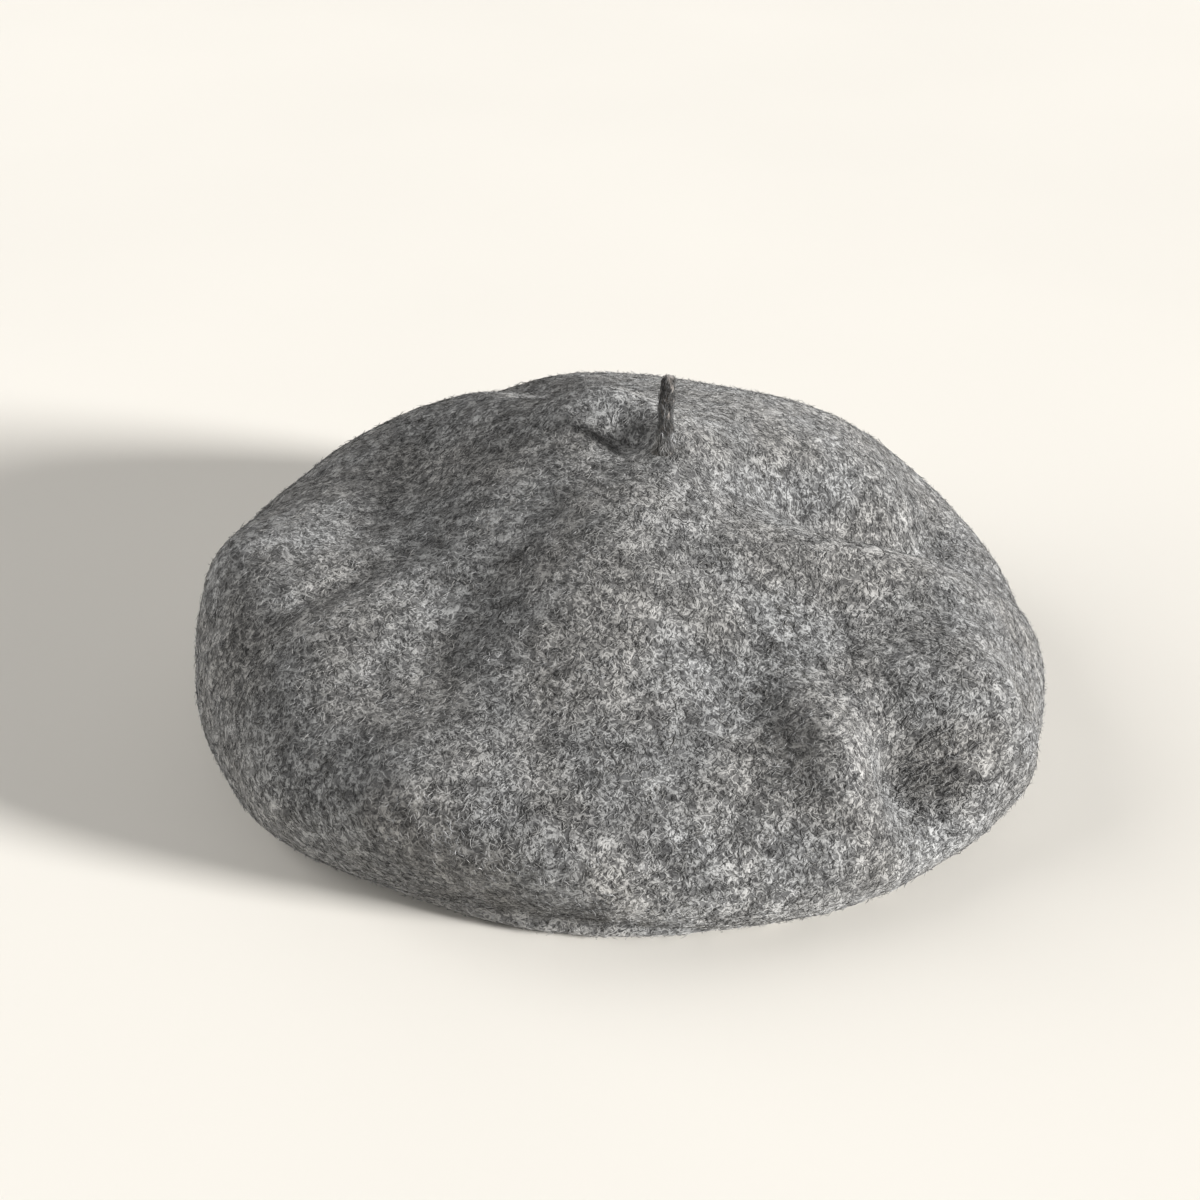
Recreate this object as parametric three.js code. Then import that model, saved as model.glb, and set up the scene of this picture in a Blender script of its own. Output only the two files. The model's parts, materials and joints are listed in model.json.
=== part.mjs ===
// A soft wool beret, lying on its head opening with the crown puffed up.
// Millimetres, +Z up. The origin is on the table, under the middle of the beret's outline.
// The felt is one seamless fulled shell: crown, rolled rim, underside ring and head opening.
// A felted stem stands at the middle of the crown, held inside by a darned tack, and a ribbon
// sweatband with its stitching and a blank label stands inside the head opening.
import * as THREE from "three";

// Felt shell
const RIM_RADIUS = 135.5; // widest ring of the rim, before it is stretched to its lying outline
const RIM_LEVEL = 20; // height of that ring above the table
const CROWN_HEIGHT = 96; // middle of the crown above the table, before the dents
const OPENING_RADIUS = 88; // head opening, 553 mm round
const FELT_THICKNESS = 2.4;
const EDGE_ROUNDING = 0.8; // how far the cut edge of the opening bulges
const CROWN_SHIFT = [14, 8]; // the crown's middle has slumped this far from the rim's middle
const OUTLINE_STRETCH = [
  // lobes of the lying outline: [waves round the rim, share of the radius, direction in degrees]
  [1, -0.05, 270],
  [2, 0.035, 0],
];
const BACK_PUFF = [0.2, 130]; // how much higher one side stands: [share of the height, direction]

// Soft dents and bulges, on the flat pattern of the crown. Distances and widths are shares of the
// way from the crown's middle to the rim: [direction in degrees, distance, turn in degrees,
// half length, half width, depth in mm, positive outwards].
const DENTS = [
  [265, 0.52, 90, 0.37, 0.43, -4], // slump of the whole front
  [350, 0.43, 14, 0.35, 0.11, -9], // valley that runs out to the right
  [3, 0.73, 12, 0.13, 0.06, -6], // its notch at the rim
  [40, 0.49, 30, 0.34, 0.21, 8], // back right bulge
  [332, 0.68, 55, 0.21, 0.13, 7], // front right shoulder
  [318, 0.38, 322, 0.21, 0.13, -4], // flat below the valley
  [315, 0.8, 318, 0.12, 0.09, -12], // dent in the front right rim
  [305, 0.76, 302, 0.18, 0.07, 4], // fold beside it
  [293, 0.53, 292, 0.18, 0.11, -7], // valley beside the fold
  [264, 0.52, 264, 0.37, 0.15, 3], // middle ridge
  [223, 0.53, 232, 0.27, 0.16, -9], // left valley
  [210, 0.68, 250, 0.21, 0.15, 6], // lower left bulge
  [235, 0.76, 325, 0.28, 0.11, 5], // front left shoulder
  [190, 0.51, 262, 0.23, 0.12, -9], // hollow across the left
  [176, 0.77, 262, 0.21, 0.11, 6], // upper left bulge
  [199, 0.63, 210, 0.16, 0.055, -4], // crease between the left bulges
  [122, 0.15, 150, 0.16, 0.09, 9], // hump behind the stem
  [165, 0.07, 150, 0.055, 0.043, -4], // hollow beside the stem
  [118, 0.48, 121, 0.21, 0.073, -5], // fold at the back left
  [146, 0.4, 142, 0.27, 0.1, 3], // ridge before that fold
];

// Stem and the tack that holds it
const STEM_RADIUS = 2.4;
const STEM_LENGTH = 27;
const STEM_TIP_RADIUS = 2.1;
const STEM_BOW = 0.8; // how far the tip leans sideways
const TACK_REACH = 5; // half width of the darned patch
const TACK_THICKNESS = 1;

// Sweatband and its thread
const BAND_HEIGHT = 26;
const BAND_THICKNESS = 1.2;
const BAND_LIFT = 0.5; // lower edge above the table
const THREAD_RADIUS = 0.4;
const BAND_SEAM_HEIGHT = 3.5; // of the seam above the band's lower edge
const JOIN_ANGLE = 90; // the band's lapped ends are at the back
const JOIN_TACK_WIDTH = 2.4;
const JOIN_TACK_MARGIN = 2; // between the bar tack, the seam below it and the band's upper edge

// Blank label
const LABEL_WIDTH = 30;
const LABEL_THICKNESS = 0.6;
const LABEL_CORNER = 1.2;
const LABEL_ANGLE = 68;
const LABEL_TOP_MARGIN = 2.5; // below the band's upper edge
const LABEL_LOW_MARGIN = 2.6; // above the band's seam
const LABEL_SEAM_MARGIN = 2; // at each end of its line of thread

const GAP = 0.3; // between pieces that touch

// Fineness of the meshes
const ROUND_STEPS = 72;
const CROWN_RINGS = 20;
const UNDER_RINGS = 7;
const RING_CROWDING = 1.25; // rings stand closer near the crown's middle
const THREAD_SIDES = 6;
const STEPS_PER_POINT = 60; // for measuring along the meridian

const radians = THREE.MathUtils.degToRad;
const soft = THREE.MathUtils.smoothstep;

// The crown's meridian from its middle over the rim to the opening: shares of the rim's radius
// and of the crown's height down to the widest ring, then the roll under it.
const CROWN_LINE = [
  [0.118, 0.984],
  [0.28, 0.927],
  [0.472, 0.844],
  [0.664, 0.74],
  [0.812, 0.625],
  [0.922, 0.49],
  [0.985, 0.354],
];
const ROLL_LINE = [
  [0.967, 0.42],
  [0.893, 0.09],
  [0.8, 0],
];
const crownLine = CROWN_LINE.map(
  ([r, z]) => new THREE.Vector2(r * RIM_RADIUS, z * CROWN_HEIGHT),
);
const mirrored = new THREE.Vector2(-crownLine[0].x, crownLine[0].y);
const meridian = new THREE.SplineCurve([
  mirrored, // makes the crown level at its middle
  new THREE.Vector2(0, CROWN_HEIGHT),
  ...crownLine,
  new THREE.Vector2(RIM_RADIUS, RIM_LEVEL),
  ...ROLL_LINE.map(([r, z]) => new THREE.Vector2(r * RIM_RADIUS, z * RIM_LEVEL)),
  new THREE.Vector2((ROLL_LINE.at(-1)[0] * RIM_RADIUS + OPENING_RADIUS) / 2, 0),
  new THREE.Vector2(OPENING_RADIUS, 0),
]);
meridian.arcLengthDivisions = STEPS_PER_POINT * (meridian.points.length - 1);
const lengths = meridian.getLengths();
const lengthAt = (index) => lengths[index * STEPS_PER_POINT];
const START = lengthAt(1);
const RIM_DISTANCE = lengthAt(CROWN_LINE.length + 2) - START;
const FLAT_DISTANCE = lengthAt(CROWN_LINE.length + 5) - START;
const EDGE_DISTANCE = lengths.at(-1) - START;

// How far the dents push the felt out at a place on its flat pattern.
function dentDepth(angle, distance) {
  const x = (distance / RIM_DISTANCE) * Math.cos(angle);
  const y = (distance / RIM_DISTANCE) * Math.sin(angle);
  let depth = 0;
  for (const [direction, far, turn, halfLength, halfWidth, push] of DENTS) {
    const dx = x - far * Math.cos(radians(direction));
    const dy = y - far * Math.sin(radians(direction));
    const c = Math.cos(radians(turn));
    const s = Math.sin(radians(turn));
    const along = (dx * c + dy * s) / halfLength;
    const across = (dy * c - dx * s) / halfWidth;
    depth += push * Math.exp(-along * along - across * across);
  }
  return depth * (1 - soft(distance, 1.07 * RIM_DISTANCE, 1.21 * RIM_DISTANCE));
}

// A point of the felt's outer face, at an angle round the crown and a distance down the meridian.
function feltPoint(angle, distance) {
  const along = (START + distance) / lengths.at(-1);
  const place = meridian.getPointAt(Math.min(along, 1));
  const tangent = meridian.getTangentAt(Math.min(along, 1));
  const outward = soft(distance, 0.12 * RIM_DISTANCE, RIM_DISTANCE);
  const inward = 1 - soft(distance, 1.1 * RIM_DISTANCE, FLAT_DISTANCE);
  let stretch = 1;
  for (const [waves, share, direction] of OUTLINE_STRETCH)
    stretch += share * Math.cos(waves * (angle - radians(direction))) * outward * inward;
  const puffed =
    soft(distance, 0.06 * RIM_DISTANCE, 0.6 * RIM_DISTANCE) *
    (1 - soft(distance, 1.03 * RIM_DISTANCE, 1.25 * RIM_DISTANCE));
  const tall = 1 + BACK_PUFF[0] * Math.cos(angle - radians(BACK_PUFF[1])) * puffed;
  const depth = dentDepth(angle, distance);
  const radius = place.x * stretch - tangent.y * depth;
  const height = place.y * tall + tangent.x * depth;
  const slump = 1 - soft(distance, 0, RIM_DISTANCE);
  return new THREE.Vector3(
    radius * Math.cos(angle) + CROWN_SHIFT[0] * slump,
    radius * Math.sin(angle) + CROWN_SHIFT[1] * slump,
    distance < FLAT_DISTANCE ? Math.max(height, 0) : 0,
  );
}

// The felt's outward direction there, by small steps round it and down it.
function feltNormal(angle, distance) {
  const step = 0.4;
  const near = Math.max(distance, step);
  const turn = step / near;
  const round = feltPoint(angle + turn, near).sub(feltPoint(angle - turn, near));
  const down = feltPoint(angle, near + step).sub(feltPoint(angle, near - step));
  return down.cross(round).normalize();
}

// The crown's middle has one direction for all angles.
function middleNormal() {
  const sum = new THREE.Vector3();
  for (let i = 0; i < 12; i++) sum.add(feltNormal((i * Math.PI) / 6, 0));
  return sum.normalize();
}
const MIDDLE_NORMAL = middleNormal();

function depthPoint(angle, distance, depth) {
  const normal = distance > 0 ? feltNormal(angle, distance) : MIDDLE_NORMAL;
  return feltPoint(angle, distance).addScaledVector(normal, -depth);
}

// A closed mesh from rings of points: the first and last ring are single points.
function closedFromRings(rings, steps) {
  const vertices = [];
  const faces = [];
  const starts = rings.map((ring) => {
    const start = vertices.length / 3;
    for (const p of ring) vertices.push(p.x, p.y, p.z);
    return start;
  });
  for (let k = 0; k + 1 < rings.length; k++)
    for (let i = 0; i < steps; i++) {
      const j = (i + 1) % steps;
      const a = starts[k] + (rings[k].length > 1 ? i : 0);
      const b = starts[k] + (rings[k].length > 1 ? j : 0);
      const c = starts[k + 1] + (rings[k + 1].length > 1 ? i : 0);
      const d = starts[k + 1] + (rings[k + 1].length > 1 ? j : 0);
      if (a !== b) faces.push(a, d, b);
      if (c !== d) faces.push(a, c, d);
    }
  const geometry = new THREE.BufferGeometry();
  geometry.setAttribute("position", new THREE.Float32BufferAttribute(vertices, 3));
  geometry.setIndex(faces);
  geometry.computeVertexNormals();
  return geometry;
}

function ringAt(steps, place) {
  return Array.from({ length: steps }, (_, i) => place((2 * Math.PI * i) / steps));
}

// One seamless shell: its outer face down to the opening, the rounded edge, its inner face back.
function feltShell() {
  const distances = [];
  for (let i = 1; i <= CROWN_RINGS; i++)
    distances.push(RIM_DISTANCE * (i / CROWN_RINGS) ** RING_CROWDING);
  for (let i = 1; i <= UNDER_RINGS; i++)
    distances.push(
      RIM_DISTANCE + ((EDGE_DISTANCE - RIM_DISTANCE) * i) / UNDER_RINGS,
    );
  const face = (depth) =>
    distances.map((d) => ringAt(ROUND_STEPS, (a) => depthPoint(a, d, depth)));
  const edge = ringAt(
    ROUND_STEPS,
    (a) =>
      new THREE.Vector3(
        (OPENING_RADIUS - EDGE_ROUNDING) * Math.cos(a),
        (OPENING_RADIUS - EDGE_ROUNDING) * Math.sin(a),
        FELT_THICKNESS / 2,
      ),
  );
  return closedFromRings(
    [
      [depthPoint(0, 0, 0)],
      ...face(0),
      edge,
      ...face(FELT_THICKNESS).reverse(),
      [depthPoint(0, 0, FELT_THICKNESS)],
    ],
    ROUND_STEPS,
  );
}

// The darned patch follows the inner face of the crown.
function stemTack() {
  const top = FELT_THICKNESS + GAP;
  const steps = 20;
  const reaches = [TACK_REACH / 2, TACK_REACH];
  const face = (depth) =>
    reaches.map((d) => ringAt(steps, (a) => depthPoint(a, d, depth)));
  return closedFromRings(
    [
      [depthPoint(0, 0, top)],
      ...face(top),
      ...face(top + TACK_THICKNESS).reverse(),
      [depthPoint(0, 0, top + TACK_THICKNESS)],
    ],
    steps,
  );
}

// The stem is a round-ended cord, a little thinner at its tip, with a slight sideways bow. It is
// drawn from the middle of its round root, which is where it bends.
function stem() {
  const profile = [new THREE.Vector2(0, -STEM_RADIUS)];
  for (let i = 1; i <= 4; i++) {
    const a = -Math.PI / 2 + (i * Math.PI) / 8;
    profile.push(new THREE.Vector2(STEM_RADIUS * Math.cos(a), STEM_RADIUS * Math.sin(a)));
  }
  const shaft = STEM_LENGTH - STEM_RADIUS - STEM_TIP_RADIUS;
  for (let i = 1; i < 5; i++)
    profile.push(
      new THREE.Vector2(
        THREE.MathUtils.lerp(STEM_RADIUS, STEM_TIP_RADIUS, i / 5),
        (shaft * i) / 5,
      ),
    );
  for (let i = 0; i < 4; i++) {
    const a = (i * Math.PI) / 8;
    profile.push(
      new THREE.Vector2(STEM_TIP_RADIUS * Math.cos(a), shaft + STEM_TIP_RADIUS * Math.sin(a)),
    );
  }
  profile.push(new THREE.Vector2(0, shaft + STEM_TIP_RADIUS));
  const geometry = new THREE.LatheGeometry(profile, 14);
  geometry.rotateX(Math.PI / 2);
  const position = geometry.getAttribute("position");
  for (let i = 0; i < position.count; i++) {
    const up = Math.max(position.getZ(i), 0) / STEM_LENGTH;
    position.setX(i, position.getX(i) + STEM_BOW * up * up);
  }
  geometry.computeVertexNormals();
  return geometry;
}

const BAND_OUTER = OPENING_RADIUS - EDGE_ROUNDING - GAP;
const BAND_INNER = BAND_OUTER - BAND_THICKNESS;
const BAND_TOP = BAND_LIFT + BAND_HEIGHT;
const SEAM_LEVEL = BAND_LIFT + BAND_SEAM_HEIGHT;
const SEAM_RADIUS = BAND_INNER - GAP - THREAD_RADIUS;

// A ring turned about the opening's axis from a closed outline of [radius, height] points.
function ring(outline) {
  const closed = [...outline, outline[0]].map(([r, z]) => new THREE.Vector2(r, z));
  return new THREE.LatheGeometry(closed, ROUND_STEPS).rotateX(Math.PI / 2);
}

function sweatband() {
  const bevel = BAND_THICKNESS / 3;
  return ring([
    [BAND_INNER + bevel, BAND_LIFT],
    [BAND_OUTER - bevel, BAND_LIFT],
    [BAND_OUTER, BAND_LIFT + bevel],
    [BAND_OUTER, BAND_TOP - bevel],
    [BAND_OUTER - bevel, BAND_TOP],
    [BAND_INNER + bevel, BAND_TOP],
    [BAND_INNER, BAND_TOP - bevel],
    [BAND_INNER, BAND_LIFT + bevel],
  ]);
}

function sweatbandStitching() {
  return ring(
    Array.from({ length: THREAD_SIDES }, (_, i) => {
      const a = (2 * Math.PI * i) / THREAD_SIDES;
      return [
        SEAM_RADIUS + THREAD_RADIUS * Math.cos(a),
        SEAM_LEVEL + THREAD_RADIUS * Math.sin(a),
      ];
    }),
  );
}

// A thin block with rounded corners: its width runs along X, its height along Z, and its
// thickness from y = 0 to y = -thickness.
function patch(width, height, thickness, corner) {
  const x = width / 2;
  const y = height / 2;
  const outline = new THREE.Shape()
    .moveTo(-x + corner, -y)
    .lineTo(x - corner, -y)
    .absarc(x - corner, -y + corner, corner, -Math.PI / 2, 0)
    .lineTo(x, y - corner)
    .absarc(x - corner, y - corner, corner, 0, Math.PI / 2)
    .lineTo(-x + corner, y)
    .absarc(-x + corner, y - corner, corner, Math.PI / 2, Math.PI)
    .lineTo(-x, -y + corner)
    .absarc(-x + corner, -y + corner, corner, Math.PI, 1.5 * Math.PI);
  return new THREE.ExtrudeGeometry(outline, {
    depth: thickness,
    bevelEnabled: false,
    curveSegments: 4,
  }).rotateX(Math.PI / 2);
}

// How far a flat piece of this width stands in from a round wall behind it.
const chordRadius = (radius, width) => Math.sqrt(radius ** 2 - (width / 2) ** 2);

const JOIN_TACK_LOW = SEAM_LEVEL + THREAD_RADIUS + JOIN_TACK_MARGIN;
const JOIN_TACK_HEIGHT = BAND_TOP - JOIN_TACK_MARGIN - JOIN_TACK_LOW;
const JOIN_TACK_RADIUS = chordRadius(BAND_INNER, JOIN_TACK_WIDTH) - GAP;
const LABEL_TOP = BAND_TOP - LABEL_TOP_MARGIN;
const LABEL_HEIGHT = LABEL_TOP - (SEAM_LEVEL + THREAD_RADIUS + LABEL_LOW_MARGIN);
const LABEL_RADIUS = chordRadius(BAND_INNER, LABEL_WIDTH) - GAP;
const LABEL_SEAM_LEVEL = LABEL_TOP - 2 * THREAD_RADIUS - GAP;

// Puts a piece drawn at the front of the band at its own angle: its outer face is at this radius.
function atAngle(mesh, degrees, radius, height) {
  const holder = new THREE.Group();
  holder.rotation.z = radians(degrees - 90);
  mesh.position.set(0, radius, height);
  holder.add(mesh);
  return holder;
}

function piece(name, geometry, colour, roughness) {
  const material = new THREE.MeshStandardMaterial({ color: colour, roughness, metalness: 0 });
  const mesh = new THREE.Mesh(geometry, material);
  mesh.name = name;
  return mesh;
}

const FELT_GREY = 0x7a7977;
const STEM_GREY = 0x55534f;
const RIBBON_BLACK = 0x26262a;
const THREAD_GREY = 0x4c4b4a;
const LABEL_WHITE = 0xdcd6ca;

const felt = piece("felt_shell", feltShell(), FELT_GREY, 0.95);
const tail = piece("stem", stem(), STEM_GREY, 0.95);
tail.position.copy(depthPoint(0, 0, -STEM_RADIUS - GAP));

const beret = new THREE.Group();
beret.add(
  felt,
  tail,
  piece("stem_tack", stemTack(), THREAD_GREY, 0.9),
  piece("sweatband", sweatband(), RIBBON_BLACK, 0.7),
  piece("sweatband_stitching", sweatbandStitching(), THREAD_GREY, 0.8),
  atAngle(
    piece(
      "sweatband_join_stitching",
      patch(JOIN_TACK_WIDTH, JOIN_TACK_HEIGHT, 2 * THREAD_RADIUS, THREAD_RADIUS),
      THREAD_GREY,
      0.8,
    ),
    JOIN_ANGLE,
    JOIN_TACK_RADIUS,
    JOIN_TACK_LOW + JOIN_TACK_HEIGHT / 2,
  ),
  atAngle(
    piece(
      "care_label",
      patch(LABEL_WIDTH, LABEL_HEIGHT, LABEL_THICKNESS, LABEL_CORNER),
      LABEL_WHITE,
      0.8,
    ),
    LABEL_ANGLE,
    LABEL_RADIUS,
    LABEL_TOP - LABEL_HEIGHT / 2,
  ),
  atAngle(
    piece(
      "care_label_stitching",
      patch(
        LABEL_WIDTH - 2 * LABEL_SEAM_MARGIN,
        2 * THREAD_RADIUS,
        2 * THREAD_RADIUS,
        THREAD_RADIUS / 2,
      ),
      THREAD_GREY,
      0.8,
    ),
    LABEL_ANGLE,
    LABEL_RADIUS - LABEL_THICKNESS - GAP,
    LABEL_SEAM_LEVEL,
  ),
);

// The row's origin is under the middle of the outline of the felt.
felt.geometry.computeBoundingBox();
const middle = felt.geometry.boundingBox.getCenter(new THREE.Vector3());
beret.position.set(-middle.x, -middle.y, 0);

const root = new THREE.Group();
root.name = "beret";
root.add(beret);

export default root;
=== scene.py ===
import json
import math

import bpy
import numpy as np
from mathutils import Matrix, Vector


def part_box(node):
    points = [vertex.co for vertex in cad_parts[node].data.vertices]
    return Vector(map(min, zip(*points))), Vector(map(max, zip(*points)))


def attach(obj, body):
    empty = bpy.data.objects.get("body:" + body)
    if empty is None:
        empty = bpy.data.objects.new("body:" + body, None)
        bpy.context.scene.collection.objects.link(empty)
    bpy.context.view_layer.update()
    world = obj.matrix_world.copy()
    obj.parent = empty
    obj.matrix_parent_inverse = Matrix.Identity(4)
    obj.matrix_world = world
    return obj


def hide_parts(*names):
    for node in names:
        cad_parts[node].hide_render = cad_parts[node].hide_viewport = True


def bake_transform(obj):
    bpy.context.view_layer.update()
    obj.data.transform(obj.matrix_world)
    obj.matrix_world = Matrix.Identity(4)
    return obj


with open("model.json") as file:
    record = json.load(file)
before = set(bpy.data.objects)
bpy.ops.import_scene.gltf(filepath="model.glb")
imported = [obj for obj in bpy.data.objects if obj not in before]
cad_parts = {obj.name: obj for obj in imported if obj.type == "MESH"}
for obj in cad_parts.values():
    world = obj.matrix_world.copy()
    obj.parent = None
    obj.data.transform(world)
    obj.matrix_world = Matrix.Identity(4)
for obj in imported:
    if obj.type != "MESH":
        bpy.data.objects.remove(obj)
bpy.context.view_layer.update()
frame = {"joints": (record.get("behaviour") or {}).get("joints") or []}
MM = 0.001  # lengths below are in millimetres, as in the CAD

# ---------------------------------------------------------------------------------------------
# Table, light and view. The beret lies on a plain pale table in a pale room. One low, soft lamp
# stands at its right front, and a wide window at its left fills in weakly from that side.
# ---------------------------------------------------------------------------------------------
TABLE_WIDTH = 40000
TABLE_COLOUR = (0.86, 0.835, 0.785, 1)
TABLE_CLOUDS = 300  # width of the slightly darker places
TABLE_DARKER = 0.97
WARM_WHITE = (1, 0.985, 0.96)
ROOM_STRENGTH = (0.05, 0.42)  # before and behind the beret
HORIZON_STRENGTH = 0.2  # added low down, where the walls are
HORIZON_HEIGHT = 0.2
# Name, strength, degrees across as seen from the beret, azimuth and elevation.
LAMPS = (("lamp", 7.6, 10, -21, 15), ("window", 2.1, 60, 174, 26))
EYE = (-6.7, -503, 368)
EYE_TILT = 33  # degrees below level
LENS = 54
SENSOR = 36


def put(tree, kind, sockets=(), **settings):
    """Adds a shader node. sockets pairs its inputs with a value or with another node's output."""
    made = tree.nodes.new("ShaderNode" + kind)
    for setting, value in settings.items():
        setattr(made, setting, value)
    for socket, value in dict(sockets).items():
        if isinstance(value, bpy.types.NodeSocket):
            tree.links.new(value, made.inputs[socket])
        else:
            made.inputs[socket].default_value = value
    return made


def maths(tree, operation, *values):
    return put(tree, "Math", enumerate(values), operation=operation).outputs[0]


def between(tree, share, low, high):
    """A colour between two others, by a share from 0 to 1."""
    made = put(tree, "Mix", {0: share, 6: low, 7: high}, data_type="RGBA")
    return made.outputs[2]


def ranged(tree, value, low, high, to_low=0.0, to_high=1.0):
    """A value's place between low and high, eased at both ends."""
    sockets = {0: value, 1: low, 2: high, 3: to_low, 4: to_high}
    return put(tree, "MapRange", sockets, interpolation_type="SMOOTHSTEP").outputs[0]


def noise_of(tree, place, size, detail=0.0):
    """Smooth noise whose lumps are this many millimetres wide, about 0.5 on average."""
    sockets = {"Vector": place, "Scale": 1 / size, "Detail": detail}
    return put(tree, "TexNoise", sockets).outputs[0]


def new_material(name):
    """A material with one Principled shader. Returns the material, its tree and that shader."""
    material = bpy.data.materials.new(name)
    material.use_nodes = True
    return material, material.node_tree, material.node_tree.nodes["Principled BSDF"]


def own_place(tree, shift=(0, 0, 0), stretch=(1, 1, 1)):
    """The piece's own coordinates in millimetres, moved and stretched."""
    found = put(tree, "TexCoord").outputs["Object"]
    scale = [1 / (MM * s) for s in stretch]
    return put(tree, "Mapping", {"Vector": found, "Location": shift, "Scale": scale}).outputs[0]


def table_finish():
    material, tree, shader = new_material("pale_table")
    cloud = noise_of(tree, own_place(tree), TABLE_CLOUDS, 2)
    shade = ranged(tree, cloud, 0.2, 0.8)
    darker = [TABLE_DARKER * c for c in TABLE_COLOUR[:3]] + [1]
    tree.links.new(between(tree, shade, darker, TABLE_COLOUR), shader.inputs["Base Color"])
    shader.inputs["Roughness"].default_value = 0.85
    shader.inputs["Specular IOR Level"].default_value = 0.2
    return material


half = TABLE_WIDTH * MM / 2
table_mesh = bpy.data.meshes.new("table")
corners = [(-half, -half, 0), (half, -half, 0), (half, half, 0), (-half, half, 0)]
table_mesh.from_pydata(corners, [], [(0, 1, 2, 3)])
table_mesh.materials.append(table_finish())
table = bpy.data.objects.new("table", table_mesh)
bpy.context.collection.objects.link(table)

world = bpy.data.worlds.new("pale_room")
bpy.context.scene.world = world
world.use_nodes = True
room_tree = world.node_tree
room = room_tree.nodes["Background"]
room.inputs["Color"].default_value = (*WARM_WHITE, 1)
towards_room = put(room_tree, "TexCoord").outputs["Generated"]
towards_room = put(room_tree, "SeparateXYZ", {0: towards_room}).outputs
room_depth = ranged(room_tree, towards_room["Y"], -1, 1, *ROOM_STRENGTH)
horizon = ranged(room_tree, towards_room["Z"], 0, HORIZON_HEIGHT, HORIZON_STRENGTH, 0)
room_tree.links.new(maths(room_tree, "ADD", room_depth, horizon), room.inputs["Strength"])

for lamp_name, strength, across, azimuth, height in LAMPS:
    azimuth, height = math.radians(azimuth), math.radians(height)
    lamp_data = bpy.data.lights.new(lamp_name, "SUN")
    lamp_data.energy = strength
    lamp_data.color = WARM_WHITE
    lamp_data.angle = math.radians(across)
    lamp = bpy.data.objects.new(lamp_name, lamp_data)
    level = math.cos(height)
    towards = Vector((math.cos(azimuth) * level, math.sin(azimuth) * level, math.sin(height)))
    lamp.rotation_euler = towards.to_track_quat("Z", "Y").to_euler()
    bpy.context.collection.objects.link(lamp)

eye_data = bpy.data.cameras.new("eye")
eye_data.lens = LENS
eye_data.sensor_width = SENSOR
eye = bpy.data.objects.new("eye", eye_data)
eye.location = Vector(EYE) * MM
eye.rotation_euler = (math.radians(90 - EYE_TILT), 0, 0)
bpy.context.collection.objects.link(eye)
bpy.context.scene.camera = eye
bpy.context.scene.view_settings.view_transform = "Standard"

# ---------------------------------------------------------------------------------------------
# Felt shell. One seamless piece of grey marl wool, knitted, fulled into felt and blocked: the
# crown, the rolled rim, the flat ring underneath and the cut head opening. It is dented softly
# where it has slumped, and its face is a tangle of light and dark fibres.
# ---------------------------------------------------------------------------------------------
RIM_RADIUS = 135.5  # the widest ring, before it is stretched to its lying outline
RIM_LEVEL = 20
CROWN_HEIGHT = 96
FELT_THICKNESS = 2.4
EDGE_ROUNDING = 0.8  # how far the cut edge of the opening bulges
CROWN_SHIFT = (14, 8)  # the crown's middle has slumped this far from the rim's middle
# Lobes of the lying outline: waves round the rim, share of the radius, direction in degrees.
# Down the felt they grow up to the rim and then go again, up to the flat ring underneath.
OUTLINE_STRETCH = ((1, -0.05, 270), (2, 0.035, 0))
OUTLINE_GROWS = 0.12  # where it starts to grow, as a share of the way to the rim
OUTLINE_GOES = 1.1  # where it starts to go
BACK_PUFF = (0.2, 130)  # how much higher one side stands: share of the height, direction
PUFF_GROWS = (0.06, 0.6)  # shares of the way to the rim between which it grows
PUFF_GOES = (1.03, 1.25)  # and between which it goes again
# The meridian from the crown's middle: shares of the rim's radius and of the crown's height.
CROWN_LINE = (
    (0.118, 0.984),
    (0.28, 0.927),
    (0.472, 0.844),
    (0.664, 0.74),
    (0.812, 0.625),
    (0.922, 0.49),
    (0.985, 0.354),
)
ROLL_LINE = ((0.967, 0.42), (0.893, 0.09), (0.8, 0))  # shares of the rim's radius and level
# Soft dents on the flat pattern: direction in degrees, distance, turn in degrees, half length,
# half width (the lengths are shares of the way to the rim), and depth, positive outwards.
DENTS = (
    (265, 0.52, 90, 0.37, 0.43, -4),  # slump of the whole front
    (350, 0.43, 14, 0.35, 0.11, -9),  # valley that runs out to the right
    (3, 0.73, 12, 0.13, 0.06, -6),  # its notch at the rim
    (40, 0.49, 30, 0.34, 0.21, 8),  # back right bulge
    (332, 0.68, 55, 0.21, 0.13, 7),  # front right shoulder
    (318, 0.38, 322, 0.21, 0.13, -4),  # flat below the valley
    (315, 0.8, 318, 0.12, 0.09, -12),  # dent in the front right rim
    (305, 0.76, 302, 0.18, 0.07, 4),  # fold beside it
    (293, 0.53, 292, 0.18, 0.11, -7),  # valley beside the fold
    (264, 0.52, 264, 0.37, 0.15, 3),  # middle ridge
    (223, 0.53, 232, 0.27, 0.16, -9),  # left valley
    (210, 0.68, 250, 0.21, 0.15, 6),  # lower left bulge
    (235, 0.76, 325, 0.28, 0.11, 5),  # front left shoulder
    (190, 0.51, 262, 0.23, 0.12, -9),  # hollow across the left
    (176, 0.77, 262, 0.21, 0.11, 6),  # upper left bulge
    (199, 0.63, 210, 0.16, 0.055, -4),  # crease between the left bulges
    (122, 0.15, 150, 0.16, 0.09, 9),  # hump behind the stem
    (165, 0.07, 150, 0.055, 0.043, -4),  # hollow beside the stem
    (118, 0.48, 121, 0.21, 0.073, -5),  # fold at the back left
    (146, 0.4, 142, 0.27, 0.1, 3),  # ridge before that fold
)
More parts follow.
